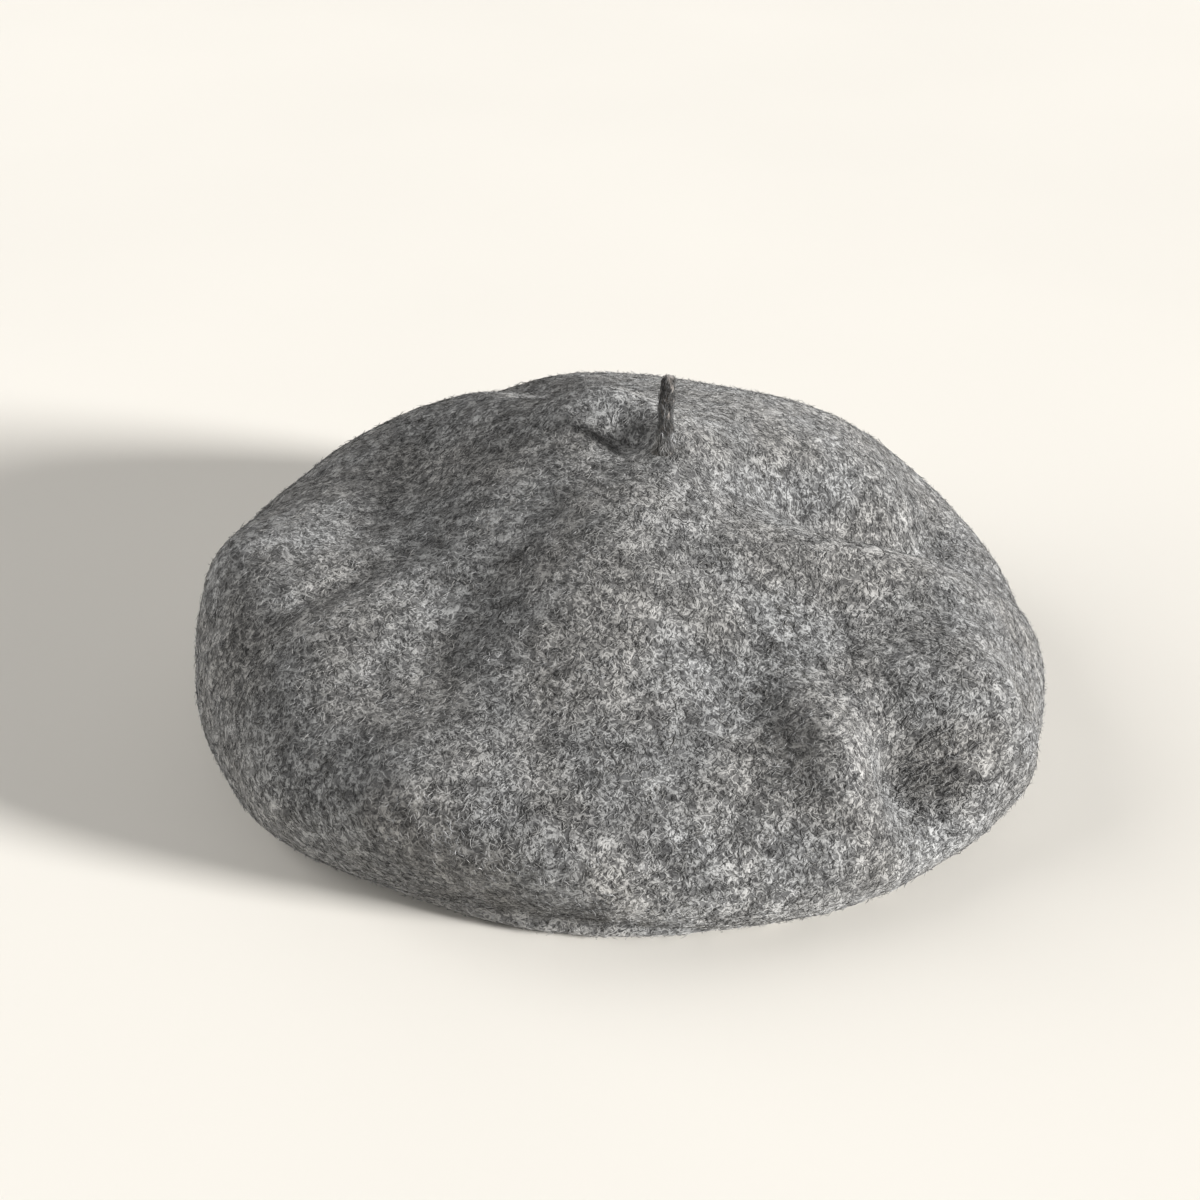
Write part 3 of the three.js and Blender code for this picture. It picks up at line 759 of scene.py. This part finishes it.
def stem_nap(material):
    """Fibres along the stem, some with a free end, and more and lighter ones at its root."""
    chance = np.random.default_rng(STEM_SEED)
    turn = chance.uniform(0, math.tau, STEM_FIBRES)
    height = chance.uniform(STEM_NAP_FROM, STEM_TOP - STEM_NAP_END, STEM_FIBRES)
    gathered = chance.uniform(0, 1, STEM_FIBRES) < ROOT_NAP_SHARE
    height = np.where(gathered, chance.uniform(*ROOT_NAP_HEIGHT, STEM_FIBRES), height)
    length = chance.uniform(*STEM_NAP_LENGTH, STEM_FIBRES)
    slant = chance.normal(0, STEM_NAP_SLANT, STEM_FIBRES)
    bend = chance.normal(0, STEM_NAP_BEND, STEM_FIBRES)
    arch = chance.uniform(*STEM_NAP_REACH, STEM_FIBRES)
    free = chance.uniform(0, 1, STEM_FIBRES) < STEM_NAP_FREE
    rise = np.where(free, chance.uniform(*STEM_NAP_FREE_REACH, STEM_FIBRES), 0)
    middle = STEM_ROOT + (0.3, 0, 0)
    path = []
    for t, lift, loose in STEM_NAP_SHAPE:
        at = height + t * length
        here = turn + (slant * t * length + bend * (t * length) ** 2) / STEM_RADIUS
        place = stem_face(here, np.minimum(at, STEM_TOP - 0.3))
        outward = unit((place - middle) * (1, 1, 0) + (0, 0, 0.4))
        place = place + outward * (arch * lift + rise * loose)[:, None]
        path.append(place)
    up = unit((path[1] - middle) * (1, 1, 0))
    width = chance.uniform(*STEM_NAP_WIDTH, STEM_FIBRES)
    lighter = np.where(height < ROOT_NAP_HEIGHT[1], ROOT_NAP_TONE, 1)
    tone = chance.uniform(*STEM_NAP_TONE, STEM_FIBRES) * lighter
    return fibres("stem_nap", np.stack(path, 1), up, width, tone, material)


stem_piece = stem()
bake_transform(stem_piece)
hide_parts("stem")
stem_nap_piece = stem_nap(fibre_finish("stem_fibre"))
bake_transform(stem_nap_piece)

# ---------------------------------------------------------------------------------------------
# Stem tack. Inside the crown, under the stem, its root is darned fast to the felt: a small
# round patch of grey wool yarn, over and under, that follows the inside of the crown.
# ---------------------------------------------------------------------------------------------
TACK_REACH = 4.6
TACK_PITCH = 1.15  # from yarn to yarn
TACK_YARN = 0.42  # radius
TACK_DEPTH = FELT_THICKNESS + 0.75  # of the patch's middle under the felt's outer face
TACK_WEAVE = 0.24  # how far a yarn passes over and under
TACK_END = 0.4  # how far a yarn runs on past the round patch
TACK_TUCK = 0.9  # how far its ends turn in towards the felt
TACK_STEPS = 25  # points along each yarn
TACK_GREY = (0.16, 0.155, 0.15)
THREAD_SIDES = 8


def tube(line, radius, ends=0.35):
    """Points and faces of a round thread along a line, its ends narrowed and closed."""
    line = np.asarray(line, float)
    ahead = unit(np.gradient(line, axis=0))
    guess = np.array([0, 0, 1.0]) if abs(ahead[:, 2]).mean() < 0.8 else np.array([1.0, 0, 0])
    side = unit(np.cross(ahead, guess))
    over = np.cross(side, ahead)
    turns = np.arange(THREAD_SIDES) * math.tau / THREAD_SIDES
    reach = np.full(len(line), float(radius))
    reach[0] *= ends
    reach[-1] *= ends
    ring = side[:, None] * np.cos(turns)[:, None] + over[:, None] * np.sin(turns)[:, None]
    points = (line[:, None] + ring * reach[:, None, None]).reshape(-1, 3)
    faces = ring_faces(len(line), THREAD_SIDES)
    last = (len(line) - 1) * THREAD_SIDES
    faces.append(tuple(range(THREAD_SIDES)))
    faces.append(tuple(last + i for i in reversed(range(THREAD_SIDES))))
    return points, faces


def joined(parts):
    """Points and faces of several parts as one mesh."""
    points, faces, start = [], [], 0
    for part_points, part_faces in parts:
        points.append(part_points)
        faces.extend(tuple(start + k for k in face) for face in part_faces)
        start += len(part_points)
    return np.vstack(points), faces


def yarn_finish(name, colour, ply=0.9, sheen=0.3):
    """Spun yarn or thread: fine slanting plies that catch the light, and a little unevenness."""
    material, tree, shader = new_material(name)
    place = own_place(tree)
    ply_place = put(tree, "Mapping", {"Vector": place, "Rotation": (0.6, 0.5, 0.7)}).outputs[0]
    sockets = {"Vector": ply_place, "Scale": 1 / ply, "Distortion": 1.2, "Detail": 1.0}
    wave = put(tree, "TexWave", sockets).outputs["Fac"]
    cloud = noise_of(tree, place, 1.4, 2)
    shade = maths(tree, "MULTIPLY_ADD", wave, 0.6, maths(tree, "MULTIPLY", cloud, 0.6))
    dark = [0.45 * c for c in colour] + [1]
    light = [1.5 * c for c in colour] + [1]
    mixed = between(tree, ranged(tree, shade, 0.15, 0.9), dark, light)
    tree.links.new(mixed, shader.inputs["Base Color"])
    rough = ranged(tree, wave, 0, 1, 0.85, 0.6)
    tree.links.new(rough, shader.inputs["Roughness"])
    raised = put(tree, "Bump", {"Height": shade, "Distance": 0.1 * MM, "Strength": 0.7})
    tree.links.new(raised.outputs[0], shader.inputs["Normal"])
    shader.inputs["Sheen Weight"].default_value = sheen
    return material


def stem_tack():
    """Yarns one way, then yarns the other way that go over and under them."""
    parts = []
    rows = math.floor(TACK_REACH / TACK_PITCH)
    for crossing in (False, True):
        for row in range(-rows, rows + 1):
            offset = row * TACK_PITCH
            reach = math.sqrt(TACK_REACH**2 - offset**2) + TACK_END
            along = np.linspace(-reach, reach, TACK_STEPS)
            weave = TACK_WEAVE * np.cos(math.pi * along / TACK_PITCH + math.pi * row)
            depth = TACK_DEPTH - (weave if crossing else -weave)
            depth = depth - TACK_TUCK * eased(np.abs(along), reach - 2 * TACK_END, reach)
            u, v = (offset + 0 * along, along) if crossing else (along, offset + 0 * along)
            line = felt(u, v) - depth[:, None] * felt_outward(u, v)
            parts.append(tube(line, TACK_YARN))
    points, faces = joined(parts)
    return new_piece("stem_tack_yarn", points, faces, yarn_finish("grey_yarn", TACK_GREY))


tack_piece = stem_tack()
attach(tack_piece, "beret")
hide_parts("stem_tack")

# ---------------------------------------------------------------------------------------------
# Sweatband. A black grosgrain ribbon that stands inside the head opening, with its corded ribs
# upright and a plain selvedge along both edges. Its ends lap over each other at the back.
# ---------------------------------------------------------------------------------------------
RIBBON_THICKNESS = 0.55
RIB_PITCH = 1.2
RIB_HEIGHT = 0.1
RIB_STEPS = 6
LAP_LENGTH = 11
LAP_ANGLE = 90  # the lapped ends are at the back
LAP_GAP = 0.02  # between the two layers
LAP_EASE = 12  # the way over which each end comes away from the middle line
SELVEDGE = 1.3
SELVEDGE_RIB = (0.25, 0.9)  # share of the ribs' height at the very edge and inside the selvedge
SELVEDGE_THIN = 0.75
RIBBON_ROWS = 9
RIBBON_INSET = 0.05
RIBBON_BLACK = (0.014, 0.014, 0.016)

BAND_LOW, BAND_HIGH = band_low_corner.z / MM, band_high_corner.z / MM
BAND_OUTER = (band_high_corner.x - band_low_corner.x) / 2 / MM
BAND_THICKNESS = 1.2
BAND_MIDDLE = BAND_OUTER - BAND_THICKNESS / 2


def ribbon_finish():
    """Grosgrain: fine warp threads over thick ribs, a faint shine along each rib."""
    material, tree, shader = new_material("black_grosgrain")
    woven = put(tree, "Attribute", attribute_name="woven").outputs["Vector"]
    warp = {"Vector": woven, "Scale": 0.5, "Distortion": 0.3}
    warp = put(tree, "TexWave", warp, bands_direction="Y").outputs["Fac"]
    fuzz = noise_of(tree, woven, 0.5, 2)
    cloud = noise_of(tree, woven, 14, 2)
    shade = maths(tree, "MULTIPLY_ADD", warp, 0.5, maths(tree, "MULTIPLY", fuzz, 0.7))
    dark = [0.6 * c for c in RIBBON_BLACK] + [1]
    light = [2.6 * c for c in RIBBON_BLACK] + [1]
    mixed = between(tree, ranged(tree, shade, 0.2, 0.95), dark, light)
    strength = ranged(tree, cloud, 0.3, 0.7, 0.85, 1.2)
    mixed = put(tree, "VectorMath", {0: mixed, "Scale": strength}, operation="SCALE").outputs[0]
    tree.links.new(mixed, shader.inputs["Base Color"])
    tree.links.new(ranged(tree, fuzz, 0.2, 0.8, 0.45, 0.7), shader.inputs["Roughness"])
    raised = put(tree, "Bump", {"Height": shade, "Distance": 0.06 * MM, "Strength": 0.6})
    tree.links.new(raised.outputs[0], shader.inputs["Normal"])
    shader.inputs["Sheen Weight"].default_value = 0.25
    return material


def sweatband():
    """The ribbon's closed cross-section, swept round from one lapped end to the other."""
    whole = math.tau * BAND_MIDDLE
    length = whole + LAP_LENGTH
    steps = round(length / RIB_PITCH) * RIB_STEPS
    along = np.linspace(0, length, steps + 1)
    angle = math.radians(LAP_ANGLE) + (along - LAP_LENGTH / 2) / BAND_MIDDLE
    apart = (RIBBON_THICKNESS + 2 * RIB_HEIGHT) / 2 + LAP_GAP
    aside = apart * (1 - eased(along, LAP_LENGTH, LAP_LENGTH + LAP_EASE))
    aside = aside - apart * eased(along, whole - LAP_EASE, whole)
    rib = RIB_HEIGHT * np.cos(math.tau * along / RIB_PITCH)
    levels = np.linspace(BAND_LOW + RIBBON_INSET, BAND_HIGH - RIBBON_INSET, RIBBON_ROWS)
    low, *inner, high = levels
    levels = np.array([low, low + SELVEDGE, *inner, high - SELVEDGE, high])
    plain = np.array([*SELVEDGE_RIB, *[1] * len(inner), *reversed(SELVEDGE_RIB)])
    rows, woven = [], []
    for side in (1, -1):
        order = range(len(levels)) if side > 0 else reversed(range(len(levels)))
        for k in order:
            half = RIBBON_THICKNESS / 2 * (SELVEDGE_THIN if k in (0, len(levels) - 1) else 1)
            radius = BAND_MIDDLE + aside + side * (half + rib * plain[k])
            x = radius * np.cos(angle) + OPENING_CENTRE[0]
            y = radius * np.sin(angle) + OPENING_CENTRE[1]
            rows.append(np.stack([x, y, np.full_like(x, levels[k])], -1))
            woven.append(np.stack([along, np.full_like(x, levels[k]), np.full_like(x, side)], -1))
    points = np.stack(rows, 1).reshape(-1, 3)
    woven = np.stack(woven, 1).reshape(-1, 3)
    around = len(rows)
    faces = ring_faces(steps + 1, around)
    faces.append(tuple(range(around)))
    faces.append(tuple(steps * around + i for i in reversed(range(around))))
    piece = new_piece("sweatband_ribbon", points, faces, ribbon_finish())
    held = piece.data.attributes.new("woven", "FLOAT_VECTOR", "POINT")
    held.data.foreach_set("vector", woven.astype(np.float32).ravel())
    return piece, length


band_piece, band_length = sweatband()
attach(band_piece, "beret")
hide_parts("sweatband")

# ---------------------------------------------------------------------------------------------
# Sweatband stitching. One line of grey thread through the ribbon, round the whole opening: a
# stitch, a short gap, and the next stitch, each pulled down into the ribbon at its ends.
# ---------------------------------------------------------------------------------------------
THREAD_RADIUS = 0.33
STITCH_LENGTH = 2.9
STITCH_PITCH = 3.5
STITCH_PROUD = 0.2  # how far its middle stands off the ribbon
STITCH_SUNK = 0.45  # how much deeper its ends are
STITCH_SLANT = 0.12
STITCH_STEPS = 9
THREAD_GREY = (0.13, 0.128, 0.125)

seam_low, seam_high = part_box("sweatband_stitching")
SEAM_LEVEL = (seam_low.z + seam_high.z) / 2 / MM
RIBBON_INSIDE = BAND_MIDDLE - RIBBON_THICKNESS / 2 - RIB_HEIGHT


def band_stitches():
    count = round(math.tau * RIBBON_INSIDE / STITCH_PITCH)
    parts = []
    for i in range(count):
        middle = math.radians(LAP_ANGLE) + (i + 0.5) * math.tau / count
        t = np.linspace(-1, 1, STITCH_STEPS)
        angle = middle + t * STITCH_LENGTH / 2 / RIBBON_INSIDE
        radius = RIBBON_INSIDE - STITCH_PROUD + STITCH_SUNK * np.abs(t) ** 4
        level = SEAM_LEVEL + STITCH_SLANT * t
        line = np.stack([radius * np.cos(angle), radius * np.sin(angle), level], -1)
        parts.append(tube(line + OPENING_CENTRE, THREAD_RADIUS))
    points, faces = joined(parts)
    return new_piece("sweatband_stitches", points, faces, thread_material)


thread_material = yarn_finish("grey_thread", THREAD_GREY, ply=0.5, sheen=0.1)
seam_piece = band_stitches()
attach(seam_piece, "beret")
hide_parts("sweatband_stitching")

# ---------------------------------------------------------------------------------------------
# Stitching of the join. A bar tack in the same thread, which zigzags up over the ribbon's lapped
# end and holds both layers.
# ---------------------------------------------------------------------------------------------
JOIN_PITCH = 0.62
JOIN_THREAD_RADIUS = 0.24
JOIN_WIDTH = 0.86  # share of the width that it may take
JOIN_MARGIN = 0.4  # above and below
JOIN_BACK = 0.12  # how far the thread is pulled into the ribbon at each turn
JOIN_FRONT = 0.06  # how far it stands off between the turns


def join_stitches():
    low, high = [np.array(corner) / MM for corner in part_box("sweatband_join_stitching")]
    tall = high[2] - low[2]
    turns = int(tall / JOIN_PITCH)
    middle, width = (low[0] + high[0]) / 2, (high[0] - low[0]) * JOIN_WIDTH
    line = []
    for i in range(turns + 1):
        x = middle + width / 2 * (1 if i % 2 else -1)
        z = low[2] + JOIN_MARGIN + i * (tall - 2 * JOIN_MARGIN) / turns
        line.append((x, high[1] + JOIN_BACK, z))
        if i < turns:
            halfway = (tall - 2 * JOIN_MARGIN) / turns / 2
            line.append((middle, high[1] - JOIN_FRONT, z + halfway))
    points, faces = tube(line, JOIN_THREAD_RADIUS, ends=0.5)
    return new_piece("join_stitches", points, faces, thread_material)


join_piece = join_stitches()
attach(join_piece, "beret")
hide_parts("sweatband_join_stitching")

# ---------------------------------------------------------------------------------------------
# Care label. A small blank woven label of off-white satin, its short ends folded under. It
# hangs from its upper edge on the sweatband and flips up about that edge.
# ---------------------------------------------------------------------------------------------
LABEL_WHITE = (0.72, 0.69, 0.62)
LABEL_THREAD = 0.28  # from thread to thread
LABEL_FOLD = 3.4  # width of the folded ends
LABEL_FOLD_THICKER = 0.45
LABEL_EDGE = 0.4  # width of the rounded edge
LABEL_TOP = 0.15  # how far below the hinge its upper edge is
LABEL_CURL = 0.5  # how far its lower edge curls in
LABEL_WAVE = 0.12
LABEL_ACROSS_STEPS = 60
LABEL_DOWN_STEPS = 34
LABEL_THICKNESS = 0.42

LABEL_HINGE = joint_place["label_flap"]
label_joint = next(j for j in frame["joints"] if j["name"] == "label_flap")
LABEL_ACROSS = -np.array(label_joint["axis"])
LABEL_INWARD = unit((OPENING_CENTRE - LABEL_HINGE) * (1, 1, 0))
label_low, label_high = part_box("care_label")
LABEL_HEIGHT = (label_high.z - label_low.z) / MM
LABEL_WIDTH = 30


def label_finish():
    """Satin weave: fine threads both ways and a soft gloss."""
    material, tree, shader = new_material("woven_label")
    woven = put(tree, "Attribute", attribute_name="woven").outputs["Vector"]
    threads = {"Vector": woven, "Scale": 0.32 / LABEL_THREAD, "Distortion": 0.4}
    down = put(tree, "TexWave", threads, bands_direction="X").outputs["Fac"]
    across = put(tree, "TexWave", threads, bands_direction="Y").outputs["Fac"]
    cloud = noise_of(tree, woven, 6, 2)
    weave = maths(tree, "MULTIPLY_ADD", down, 0.65, maths(tree, "MULTIPLY", across, 0.35))
    dark = [0.62 * c for c in LABEL_WHITE] + [1]
    mixed = between(tree, ranged(tree, weave, 0.1, 0.9), dark, [*LABEL_WHITE, 1])
    strength = ranged(tree, cloud, 0.3, 0.7, 0.9, 1.05)
    mixed = put(tree, "VectorMath", {0: mixed, "Scale": strength}, operation="SCALE").outputs[0]
    tree.links.new(mixed, shader.inputs["Base Color"])
    tree.links.new(ranged(tree, weave, 0, 1, 0.6, 0.4), shader.inputs["Roughness"])
    raised = put(tree, "Bump", {"Height": weave, "Distance": 0.05 * MM, "Strength": 0.6})
    tree.links.new(raised.outputs[0], shader.inputs["Normal"])
    shader.inputs["Sheen Weight"].default_value = 0.15
    return material


def care_label():
    """A thin double sheet, thicker at its folded ends, whose lower edge curls in a little."""
    across = np.linspace(-LABEL_WIDTH / 2, LABEL_WIDTH / 2, LABEL_ACROSS_STEPS + 1)
    down = np.linspace(LABEL_TOP, LABEL_HEIGHT, LABEL_DOWN_STEPS + 1)
    grid_x, grid_z = np.meshgrid(across, down)
    edge = LABEL_WIDTH / 2 - np.abs(grid_x)
    fold = 1 + LABEL_FOLD_THICKER * (1 - eased(edge, LABEL_FOLD - 0.3, LABEL_FOLD + 0.3))
    rounded = np.sqrt(np.clip(np.minimum(edge, LABEL_EDGE) / LABEL_EDGE, 0.05, 1))
    curl = LABEL_CURL * eased(grid_z, 0.45 * LABEL_HEIGHT, LABEL_HEIGHT) ** 2
    curl = curl + LABEL_WAVE * np.sin(0.5 * grid_x) * eased(grid_z, 2, LABEL_HEIGHT)
    layers = []
    for side in (1, -1):
        thickness = LABEL_THICKNESS / 2 * fold * rounded
        out = curl + side * thickness
        place = LABEL_HINGE + grid_x[..., None] * LABEL_ACROSS + out[..., None] * LABEL_INWARD
        layers.append((place - grid_z[..., None] * np.array([0, 0, 1.0])).reshape(-1, 3))
    points = np.vstack(layers)
    wide, tall = LABEL_ACROSS_STEPS + 1, LABEL_DOWN_STEPS + 1
    under = wide * tall
    faces = []
    for r in range(tall - 1):
        for c in range(wide - 1):
            a = r * wide + c
            faces.append((a, a + 1, a + wide + 1, a + wide))
            faces.append((under + a, under + a + wide, under + a + wide + 1, under + a + 1))
    border = [*range(wide), *[r * wide + wide - 1 for r in range(1, tall)]]
    border += [*[(tall - 1) * wide + c for c in reversed(range(wide - 1))]]
    border += [r * wide for r in reversed(range(1, tall - 1))]
    for a, b in zip(border, border[1:] + border[:1]):
        faces.append((b, a, under + a, under + b))
    piece = new_piece("care_label_satin", points, faces, label_finish())
    woven = np.stack([grid_x, grid_z, 0 * grid_x], -1).reshape(-1, 3)
    held = piece.data.attributes.new("woven", "FLOAT_VECTOR", "POINT")
    held.data.foreach_set("vector", np.vstack([woven, woven]).astype(np.float32).ravel())
    return piece


label_piece = care_label()
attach(label_piece, "label")
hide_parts("care_label")

# ---------------------------------------------------------------------------------------------
# Stitching of the label. Grey sewing thread in one line along the label's upper edge, stitch by
# stitch, which fixes the label to the sweatband.
# ---------------------------------------------------------------------------------------------
LABEL_SEAM_MARGIN = 2
LABEL_STITCH_PITCH = 2.6
LABEL_STITCH_HALF = 0.42  # half its length, as a share of the pitch
LABEL_STITCH_PROUD = 0.12
LABEL_STITCH_SUNK = 0.4
LABEL_THREAD_RADIUS = 0.22


def label_stitches():
    low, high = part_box("care_label_stitching")
    level = (low.z + high.z) / 2 / MM
    reach = LABEL_WIDTH / 2 - LABEL_SEAM_MARGIN
    count = round(2 * reach / LABEL_STITCH_PITCH)
    parts = []
    for i in range(count):
        middle = -reach + (i + 0.5) * 2 * reach / count
        t = np.linspace(-1, 1, STITCH_STEPS)
        along = (middle + t * LABEL_STITCH_HALF * LABEL_STITCH_PITCH)[:, None]
        out = LABEL_THICKNESS / 2 + LABEL_STITCH_PROUD - LABEL_STITCH_SUNK * np.abs(t) ** 4
        out = out[:, None]
        line = LABEL_HINGE * (1, 1, 0) + along * LABEL_ACROSS + out * LABEL_INWARD
        line[:, 2] = level
        parts.append(tube(line, LABEL_THREAD_RADIUS))
    points, faces = joined(parts)
    return new_piece("care_label_stitches", points, faces, thread_material)


label_seam_piece = label_stitches()
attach(label_seam_piece, "label")
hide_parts("care_label_stitching")
